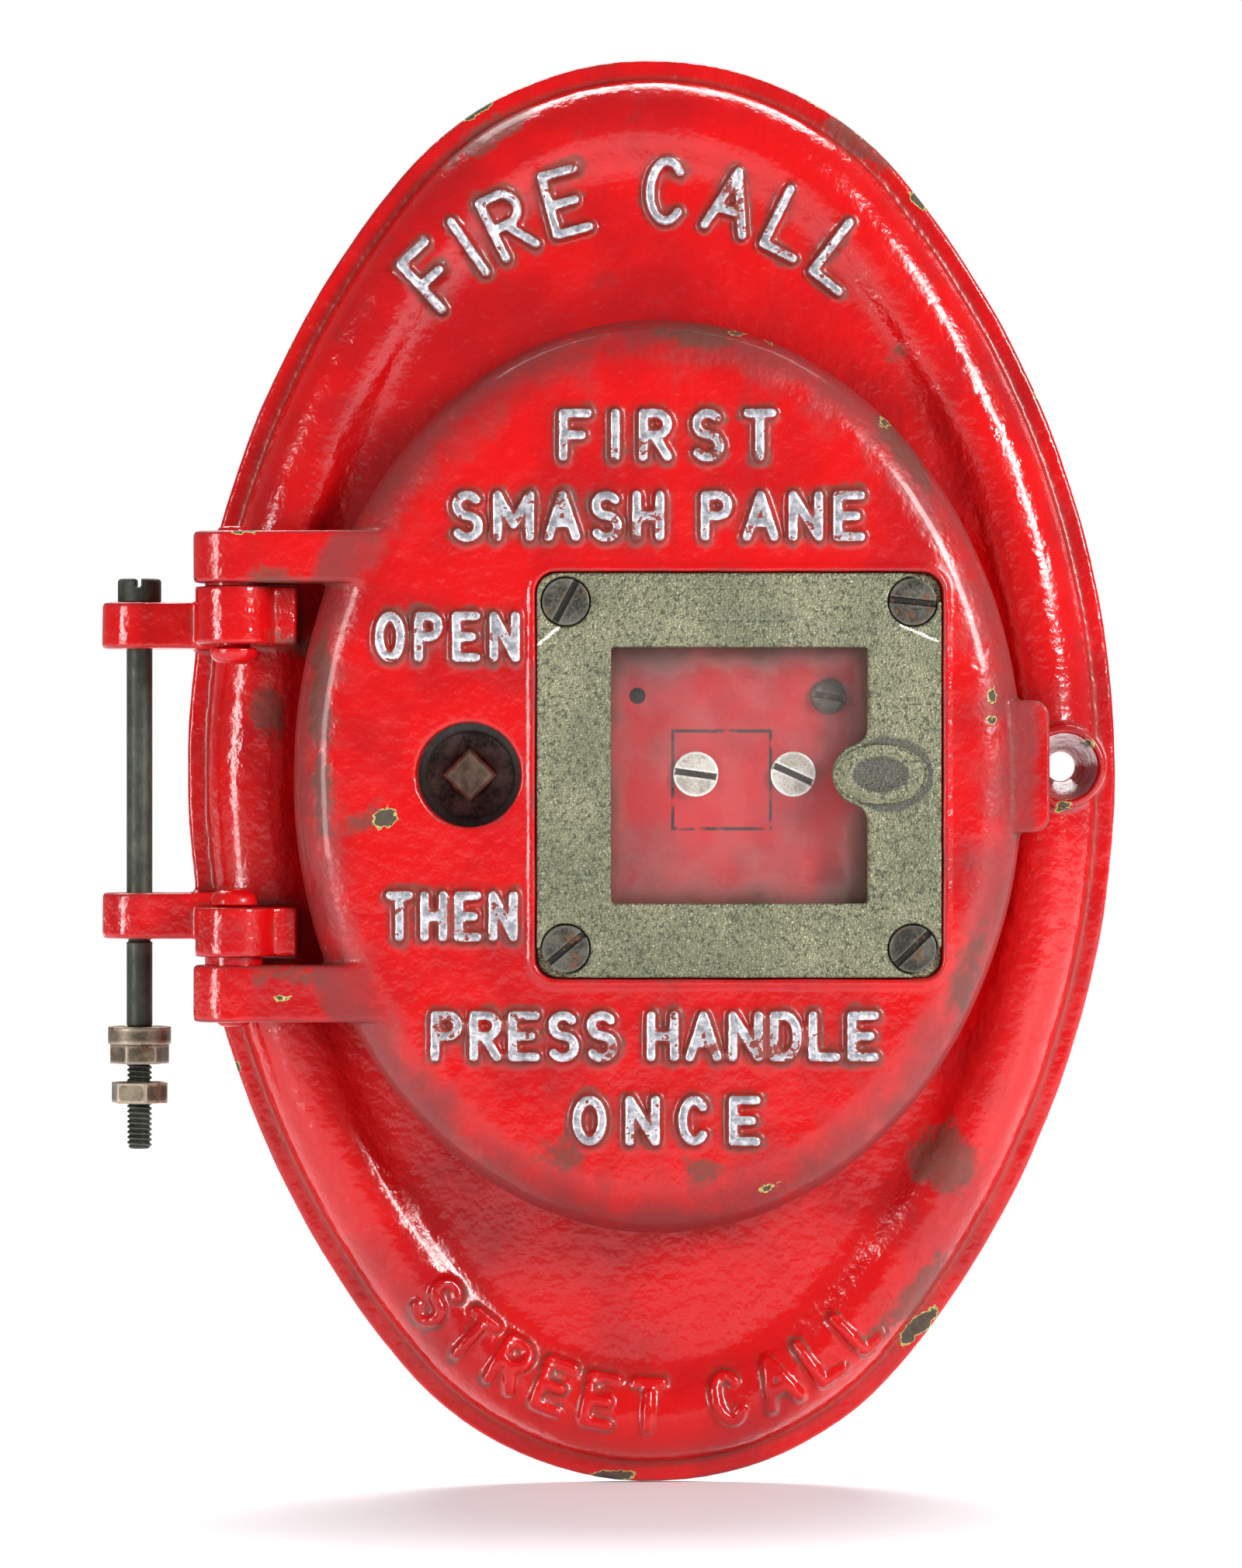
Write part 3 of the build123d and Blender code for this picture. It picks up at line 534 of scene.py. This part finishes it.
def worn_metal(
    name, dark, light, metal=0.75, rough=0.42, size=2.2, along=None, rust=0.0, rub=0.7
):
    """Handled steel or brass: two tones in blotches, fine scratches, brighter corners, painted shade with
    dirt in hollows and a little rust.
    """
    m = Shade(name)
    blotch = m.noise(size * 3, 5, 0.6)
    fine = m.noise(size * 0.3, 4, 0.65, along)
    relief = m.kept("relief")
    tone = m.math("ADD", blotch, m.math("MULTIPLY", m.math("SUBTRACT", fine, 0.5), 0.6))
    colour = m.mix(m.step(tone, 0.35, 0.68), rgb(*dark), rgb(*light))
    # Painted shade with dirt: hollows such as thread roots and slots darken by how far they sink below their
    # surroundings.
    colour = m.mix(m.step(relief, -0.02, -0.12), colour, rgb(38, 34, 30))
    shiny = [min(255, c + 46) for c in light]
    rubbed = m.math("MULTIPLY", m.step(relief, 0.05, 0.2), rub)
    colour = m.mix(rubbed, colour, rgb(*shiny))
    if rust:
        eaten = m.step(m.noise(size * 2, 5, 0.7), 0.68 - rust * 0.2, 0.76 - rust * 0.2)
        colour = m.mix(eaten, colour, m.mix(fine, rgb(84, 56, 40), rgb(120, 86, 62)))
    m.feed("Base Color", colour)
    m.feed("Roughness", m.between(m.step(fine, 0.3, 0.75), rough - 0.1, rough + 0.2))
    m.feed("Metallic", m.between(m.step(blotch, 0.3, 0.8), metal, metal * 0.7))
    m.feed("Normal", m.bump(fine, 0.05, under=m.bump(blotch, 0.06)))
    return m.material


def old_glass():
    """A pane that has hazed over, with dirt and painted shadow from the frame gathered along its edges."""
    m = Shade("old_glass", Roughness=0.08, Specular_IOR_Level=0.5)
    haze = m.noise(15, 5, 0.6)
    fine = m.noise(1.4, 4, 0.7)
    apart = m.add("SeparateXYZ", {0: m.place})
    low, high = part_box("window_frame")
    middle = (low + high) / 2
    across = m.math("ABSOLUTE", m.math("SUBTRACT", apart.outputs[0], middle.x))
    upward = m.math("ABSOLUTE", m.math("SUBTRACT", apart.outputs[2], middle.z))
    out = m.math("MULTIPLY", m.math("MAXIMUM", across, upward), 1000)
    out = m.math("ADD", out, m.math("MULTIPLY", m.math("SUBTRACT", haze, 0.5), 14))
    out = m.math("ADD", out, m.math("MULTIPLY", m.math("SUBTRACT", fine, 0.5), 3))
    # Painted shadow with dirt: the pane darkens and clouds towards the frame's edge.
    rim = m.step(out, 24, 32)
    colour = m.mix(fine, rgb(132, 118, 114), rgb(178, 166, 162))
    m.feed("Base Color", m.mix(rim, colour, rgb(96, 84, 74)))
    film = m.between(m.step(haze, 0.35, 0.72), 0.05, 0.14)
    film = m.math("ADD", film, m.math("MULTIPLY", m.step(fine, 0.64, 0.74), 0.08))
    m.feed("Alpha", m.between(rim, film, 0.42))
    return m.material


def guard_paint():
    """Dull red paint on the sheet behind the glass, with a plain inked square, and grime with painted shadow
    from the frame round its edges.
    """
    m = Shade("guard_paint", Specular_IOR_Level=0.4)
    broad = m.noise(16, 4)
    fine = m.noise(1.1, 4, 0.65)
    apart = m.add("SeparateXYZ", {0: m.place})
    across = m.math("ABSOLUTE", m.math("SUBTRACT", apart.outputs[0], 0.0170))
    upward = m.math("ABSOLUTE", m.math("SUBTRACT", apart.outputs[2], -0.0023))
    off = m.math("SUBTRACT", m.math("MAXIMUM", across, upward), 0.0119)
    line = m.step(m.math("ABSOLUTE", off), 0.00048, 0.0003)
    line = m.math("MULTIPLY", line, m.step(m.noise(5, 3), 0.36, 0.5))
    beyond = m.math("MULTIPLY", m.math("MAXIMUM", across, upward), 1000)
    beyond = m.math("ADD", beyond, m.math("MULTIPLY", broad, 10))
    colour = m.mix(m.step(broad, 0.35, 0.7), rgb(188, 20, 30), rgb(160, 26, 38))
    colour = m.mix(m.step(fine, 0.6, 0.75), colour, rgb(200, 70, 74))
    # Painted shadow with grime: the sheet darkens towards the window's edge, where the frame overhangs it.
    colour = m.mix(m.math("MULTIPLY", m.step(beyond, 33, 40), 0.6), colour, rgb(110, 40, 44))
    colour = m.mix(line, colour, rgb(30, 16, 22))
    m.feed("Base Color", colour)
    m.feed("Roughness", m.between(fine, 0.42, 0.6))
    m.feed("Normal", m.bump(m.noise(2.4, 3), 0.08))
    return m.material


def dull_solid(name, dark, light, rough=0.7, size=1.5, gloss=0.35):
    """Felt, phenolic board or a moulded knob: two tones, a fine uneven surface and a little dust."""
    m = Shade(name, Specular_IOR_Level=gloss)
    fine = m.noise(size, 5, 0.65)
    dust = m.noise(size * 6, 3)
    colour = m.mix(m.step(fine, 0.35, 0.68), rgb(*dark), rgb(*light))
    dusty = m.math("MULTIPLY", m.step(dust, 0.5, 0.75), 0.3)
    m.feed("Base Color", m.mix(dusty, colour, rgb(120, 104, 92)))
    m.feed("Roughness", m.between(dust, rough - 0.1, min(1.0, rough + 0.15)))
    m.feed("Normal", m.bump(fine, 0.06))
    return m.material


MATERIALS = {
    "red_casting": red_paint("cover_enamel"),
    "door_casting": red_paint("door_enamel", gloss=0.17, dusty=0.9),
    "pin_paint": red_paint("pin_enamel", gloss=0.18, dusty=0.5),
    "bolt_steel": worn_metal(
        "bolt_steel", (22, 25, 20), (54, 58, 46), 0.45, 0.5, along=(1, 1, 0.25), rub=0.3
    ),
    "nut_steel": worn_metal("nut_steel", (74, 66, 54), (124, 110, 92), 0.7, 0.42, rust=0.5),
    "frame_bronze": sand_bronze(),
    "screw_dark": worn_metal(
        "screw_dark", (48, 46, 40), (92, 90, 80), 0.55, 0.45, rust=0.7, rub=0.2
    ),
    "screw_pale": worn_metal("screw_pale", (182, 176, 162), (222, 218, 206), 0.55, 0.34, 1.4),
    "pane_glass": old_glass(),
    "gasket_felt": dull_solid("gasket_felt", (60, 52, 46), (96, 84, 74), 0.9, 0.7),
    "guard_red": guard_paint(),
    "lock_brass": worn_metal("lock_brass", (10, 9, 8), (120, 116, 106), 0.5, 0.5, 2.6),
    "lock_steel": worn_metal("lock_steel", (88, 88, 85), (118, 119, 116), 0.7, 0.42, 5.0),
    "key_steel": worn_metal(
        "key_steel", (84, 80, 66), (136, 130, 110), 0.4, 0.55, 1.0, rub=0.15
    ),
    "knob_black": dull_solid("knob_black", (20, 20, 21), (40, 39, 38), 0.4, 2.0, 0.5),
    "contact_phenolic": dull_solid("contact_phenolic", (70, 38, 24), (104, 62, 40), 0.5),
    "spring_steel": worn_metal("spring_steel", (88, 90, 92), (150, 152, 156), 0.9, 0.3, 1.0),
}


# ---------------------------------------------------------------- pieces

TOP_WORDS = arc_strokes("FIRE CALL", (-0.0005, 0.065), 0.0774, 136.3, 43.7, 0.0146)
FOOT_WORDS = arc_strokes(
    "STREET CALL", (0.0018, -0.0854), 0.0705, 217, 321, 0.0112, outward=False
)
DOOR_WORDS = (
    row_strokes("FIRST", -0.0215, 0.0290, 0.0811, 0.0105)
    + row_strokes("SMASH PANE", -0.0475, 0.0550, 0.0615, 0.0100)
    + row_strokes("OPEN", -0.0660, -0.0330, 0.0323, 0.0100, 0.85)
    + row_strokes("THEN", -0.0633, -0.0335, -0.0353, 0.0100, 0.8)
    + row_strokes("PRESS HANDLE", -0.0525, 0.0577, -0.0643, 0.0100)
    + row_strokes("ONCE", -0.0182, 0.0252, -0.0847, 0.0100)
)
# Spots on the castings as (x, z, half width, half height, turn), in mm and degrees.
COVER_CHIPS = [
    (29, 172, 5, 1.2, -12),
    (44, 164, 7, 1.6, -27),
    (55, 156, 6, 1.8, -36),
    (66, 141, 3, 1.4, -45),
    (96, 93, 3, 1.0, -62),
    (107, 64, 2.5, 1.0, -70),
    (113, -48, 1.6, 5, 0),
    (108, -76, 1.2, 5, 14),
    (66, -137, 6, 2.2, 44),
    (-10, -174, 6, 1.4, 0),
    (-43, 163, 5, 1.5, 28),
    (-90, 106, 2, 1.4, 60),
    (-103, -75, 1.2, 3, -20),
    (101, -8.5, 2.6, 1.2, 10),
    (106.5, 6.5, 1.2, 1.0, 0),
]
COVER_STAINS = [
    (60.5, 104.5, 3.0, 3.0, 0),
    (72, -95, 9, 10, 20),
    (66, -128, 14, 4, 48),
    (-94, 14, 5, 9, 0),
    (-88, 31, 8, 4, 0),
    (52, 154, 12, 4, -35),
    (84, 12, 4, 8, 0),
    (-40, 156, 14, 4, 30),
]
DOOR_CHIPS = [
    (21.5, 107, 2.6, 1.2, 10),
    (28.5, 105, 0.9, 1.6, 30),
    (-64.5, -11.5, 3.6, 2.3, 32),
    (-99, 58.6, 4.5, 1.4, 0),
    (56.5, 84.5, 1.6, 1.2, 0),
    (82, 18.2, 1.1, 2.2, 0),
    (82, 12.0, 0.9, 0.9, 0),
    (-90, -55, 1.8, 0.8, 0),
    (28.5, -101, 2, 1, 20),
]
DOOR_STAINS = [
    (-22, -93, 9, 5, 10),
    (12, -97, 5, 4, 0),
    (62, 78, 5, 12, 35),
    (14, 106, 12, 4, 0),
    (-90, 45, 9, 4, 0),
    (-88, -50, 8, 3, 0),
    (-69, -12, 5, 4, 30),
    (-80, 10, 3, 26, 0),
    (76, -50, 4, 14, -20),
]


def edge_dust(node, co):
    """1 on the door's rounded edge, falling to 0 over its front; nothing on the cover."""
    if node != "inner_door":
        return np.zeros(len(co))
    out = np.hypot((co[:, 0] - 0.0016) / 0.089, (co[:, 2] + 0.0014) / 0.1114)
    return np.clip((out - 0.8) / 0.18, 0, 1) * np.clip((1.07 - out) / 0.05, 0.2, 1)


def castings():
    """The cover and the door, each with its raised letters grown out of one skin."""
    fine = 0.62 * MM
    jobs = (
        ("outer_cover", "cover_casting", "red_casting", TOP_WORDS, FOOT_WORDS, 0.0021),
        ("inner_door", "door_casting", "door_casting", DOOR_WORDS, [], 0.0023),
    )
    for node, name, slot, silver, plain, width in jobs:
        front = front_of(node)
        bm = bmesh.new()
        points = raise_strokes(bm, front, silver, width, 1.9 * MM)
        others = raise_strokes(bm, front, plain, 2.1 * MM, 1.5 * MM)
        letters = bpy.data.meshes.new("letters")
        bm.to_mesh(letters)
        bm.free()
        lumps = (16 * MM, 0.28 * MM, 3.1)
        piece = cast(node, name, MATERIALS[slot], fine, 5, lumps, letters)
        mesh = piece.data
        co = points_of(mesh)
        facing = normals_of(mesh)[:, 1] < 0.25
        write(mesh, "letter", closeness(co, points) * facing)
        beside = closeness(co, points)
        if others:
            around_foot = closeness(co, others)
            clean_tops = np.where(around_foot > 0.84, 0.45, around_foot * 0.9)
            beside = np.maximum(beside, clean_tops)
        write(mesh, "beside", beside * facing)
        write(mesh, "dust", edge_dust(node, co))
        chips, stains = (
            (COVER_CHIPS, COVER_STAINS) if plain else (DOOR_CHIPS, DOOR_STAINS)
        )
        write(mesh, "chip", spots(co, chips))
        write(mesh, "stain", spots(co, stains))


def window_plate():
    """The bronze frame, with a blank engraved panel above its window and scraped upper corners."""
    piece = cast(
        "window_frame",
        "window_plate",
        MATERIALS["frame_bronze"],
        0.42 * MM,
        3,
        (5 * MM, 0.1 * MM, 7.7),
    )
    mesh = piece.data
    co = points_of(mesh)
    low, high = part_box("window_frame")
    front = co[:, 1] < low.y + 2.5 * MM
    off = np.maximum(
        np.abs(co[:, 0] - 0.0205) - 0.0125, np.abs(co[:, 2] - 0.0405) - 0.0038
    )
    groove = np.clip(1.2 - np.abs(off) / (0.55 * MM), 0, 1) * front
    out = np.hypot((co[:, 0] - 0.0553) / 0.0112, (co[:, 2] + 0.0010) / 0.0078)
    mound = np.clip(1 - out**2, 0, 1) * 1.7 * MM
    hollow = np.hypot((co[:, 0] - 0.0563) / 0.0074, (co[:, 2] + 0.0005) / 0.0042)
    dish = np.exp(-(hollow**4)) * 1.9 * MM
    facing = np.clip(-normals_of(mesh)[:, 1] * 2 - 0.4, 0, 1)
    share = facing * np.clip((1.35 - out) / 0.1, 0, 1) * (co[:, 1] < low.y + 2.8 * MM)
    flat = high.y - 3.6 * MM
    co[:, 1] += share * (flat - mound + dish - co[:, 1]) + groove * 0.42 * MM
    mesh.vertices.foreach_set("co", co.ravel())
    mesh.update()
    write(mesh, "groove", np.clip(groove * 1.3, 0, 1) + share * dish / (2.6 * MM))
    scrape = np.zeros(len(co))
    for x0, z0, x1, z1 in (
        (low.x + 0.0004, 0.0305, low.x + 0.0052, 0.0345),
        (high.x - 0.0100, 0.0352, high.x - 0.0010, 0.0312),
    ):
        ax, az = x1 - x0, z1 - z0
        t = ((co[:, 0] - x0) * ax + (co[:, 2] - z0) * az) / (ax * ax + az * az)
        t = np.clip(t, 0, 1)
        gap = np.hypot(co[:, 0] - x0 - t * ax, co[:, 2] - z0 - t * az)
        scrape = np.maximum(scrape, np.clip(1.3 - gap / (0.9 * MM), 0, 1))
    write(mesh, "scrape", scrape * front)


def shank_radius(z, angle):
    """The hinge bolt's radius below its head: plain, a groove, then a cut thread."""
    thread_top, thread_end, pitch = -0.0625, -0.0930, 0.00127
    groove_low, groove_high = -0.0421, -0.0415
    if z > thread_top:
        return 2.75 * MM if groove_low < z < groove_high else 3.175 * MM
    turn = (z / pitch + angle / (2 * math.pi)) % 1.0
    crest = 1 - abs(2 * turn - 1)
    crest = min(1.0, max(0.0, crest * 1.35 - 0.12))
    run_in = min(1.0, (thread_top - z) / (1.2 * MM))
    lead = min(1.0, (z - thread_end) / (0.9 * MM))
    radius = 3.1 * MM - (1 - crest) * 0.62 * MM * run_in
    return min(radius, 2.35 * MM + 0.75 * MM * lead)


def hinge_bolt():
    """The long bolt: a threaded shank, and its slotted head cut from the CAD."""
    axis = Vector((-0.126, -0.008, 0))
    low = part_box("hinge_bolt")[0]
    around = 48
    threaded = np.arange(low.z, -0.0620, 0.00013)
    plain = np.arange(-0.0618, 0.0418, 0.0008)
    groove_edges = [-0.0422, -0.04205, -0.04155, -0.0414]
    heights = [*threaded, *plain, *groove_edges]
    bm = bmesh.new()
    rings = []
    for z in sorted(heights):
        ring = []
        for i in range(around):
            angle = 2 * math.pi * i / around
            radius = shank_radius(z, angle)
            ring.append(
                bm.verts.new(
                    axis + Vector((radius * math.cos(angle), radius * math.sin(angle), z))
                )
            )
        rings.append(ring)
    bridge(bm, rings)
    for face in bm.faces:
        face.smooth = True
    mesh = bpy.data.meshes.new("hinge_bolt_shank")
    bm.to_mesh(mesh)
    bm.free()
    write(mesh, "relief", relief_of(mesh, 10) / MM)
    shank = placed("hinge_bolt_shank", mesh, "bolt", MATERIALS["bolt_steel"])
    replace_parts(shank, "hinge_bolt")

    bm = bmesh.new()
    bm.from_mesh(NODES["hinge_bolt"].data)
    bmesh.ops.remove_doubles(bm, verts=bm.verts, dist=1e-7)
    under_head = 0.0408
    cut = bmesh.ops.bisect_plane(
        bm,
        geom=bm.verts[:] + bm.edges[:] + bm.faces[:],
        plane_co=(0, 0, under_head),
        plane_no=(0, 0, -1),
        clear_outer=True,
    )
    rim = [g for g in cut["geom_cut"] if isinstance(g, bmesh.types.BMEdge)]
    bmesh.ops.contextual_create(bm, geom=rim)
    mesh = skinned(bm, "hinge_bolt_head", 0.22 * MM, 3)
    write(mesh, "relief", relief_of(mesh, 16) / MM)
    head = placed("hinge_bolt_head", mesh, "bolt", MATERIALS["bolt_steel"])
    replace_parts(head, "hinge_bolt")


def small_hardware():
    """Screws, nuts, pins and the spindle, with their corners worn round."""
    for node, slot, voxel in (
        ("hinge_bolt_nuts", "nut_steel", 0.26),
        ("hinge_bolt_washers", "nut_steel", 0.26),
        ("door_pins", "pin_paint", 0.34),
        ("frame_screws", "screw_dark", 0.24),
        ("guard_screws", "screw_pale", 0.22),
        ("guard_dome_screw", "screw_dark", 0.18),
        ("lock_spindle", "key_steel", 0.3),
    ):
        cast(node, node + "_worn", MATERIALS[slot], voxel * MM, 3)


def paint_cad():
    """Gives every CAD node that still shows the finish of its slot."""
    for row in frame["record"]["subparts"]:
        mesh = NODES[row["node"]].data
        mesh.materials.clear()
        mesh.materials.append(MATERIALS[row["material_slot"]])


# ---------------------------------------------------------------- floor, light, camera


def floor():
    """A pale table top that ends some way behind the object."""
    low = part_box("outer_cover")[0].z - 0.0002
    bm = bmesh.new()
    corners = ((-3, -2.2), (3, -2.2), (3, 2.66), (-3, 2.66))
    bm.faces.new([bm.verts.new((x, y, low)) for x, y in corners])
    mesh = bpy.data.meshes.new("floor")
    bm.to_mesh(mesh)
    bm.free()
    m = Shade("floor_white", Specular_IOR_Level=0.3)
    m.feed("Base Color", m.mix(m.noise(400, 2), rgb(248, 248, 250), rgb(240, 240, 243)))
    m.feed("Roughness", m.between(m.noise(60, 2), 0.5, 0.6))
    mesh.materials.append(m.material)
    obj = bpy.data.objects.new("floor", mesh)
    bpy.context.scene.collection.objects.link(obj)


def softbox(name, place, target, size, watts):
    """A rectangular lamp that faces a point."""
    lamp = bpy.data.lights.new(name, "AREA")
    lamp.shape = "RECTANGLE"
    lamp.size, lamp.size_y = size
    lamp.energy = watts
    obj = bpy.data.objects.new(name, lamp)
    obj.location = place
    heading = Vector(target) - Vector(place)
    obj.rotation_euler = heading.to_track_quat("-Z", "Y").to_euler()
    bpy.context.scene.collection.objects.link(obj)


def studio():
    """White surroundings, a lamp on the right, a weaker one on the left and one over the table behind."""
    world = bpy.data.worlds.new("studio")
    world.use_nodes = True
    tree = world.node_tree
    backdrop = tree.nodes["Background"]
    seen = tree.nodes.new("ShaderNodeLightPath").outputs["Is Camera Ray"]
    level = tree.nodes.new("ShaderNodeMapRange")
    level.inputs["To Min"].default_value = 0.24
    level.inputs["To Max"].default_value = 1.0
    tree.links.new(seen, level.inputs["Value"])
    tree.links.new(level.outputs[0], backdrop.inputs["Strength"])
    backdrop.inputs["Color"].default_value = (1, 1, 1, 1)
    bpy.context.scene.world = world
    softbox("key_lamp", (1.1, -0.95, 0.55), (0, 0, 0), (0.3, 0.6), 27)
    softbox("fill_lamp", (-1.1, -0.85, 0.1), (0, 0, 0), (0.25, 0.6), 10)
    softbox("table_lamp", (0.0, 1.3, 1.9), (0, 1.1, -0.18), (2.4, 1.6), 110)
    view = bpy.context.scene.view_settings
    view.view_transform = "Standard"
    view.look = "None"
    view.exposure = 0.0


def camera():
    """Straight in front, a little left of the middle, from a metre and a half away."""
    data = bpy.data.cameras.new("camera")
    data.sensor_fit = "VERTICAL"
    data.sensor_height = 36
    data.lens = 148.5
    data.clip_end = 20
    obj = bpy.data.objects.new("camera", data)
    obj.location = (-0.0075, -1.6, -0.0033)
    obj.rotation_euler = (math.pi / 2, 0, 0)
    bpy.context.scene.collection.objects.link(obj)
    bpy.context.scene.camera = obj


paint_cad()
castings()
window_plate()
hinge_bolt()
small_hardware()
floor()
studio()
camera()
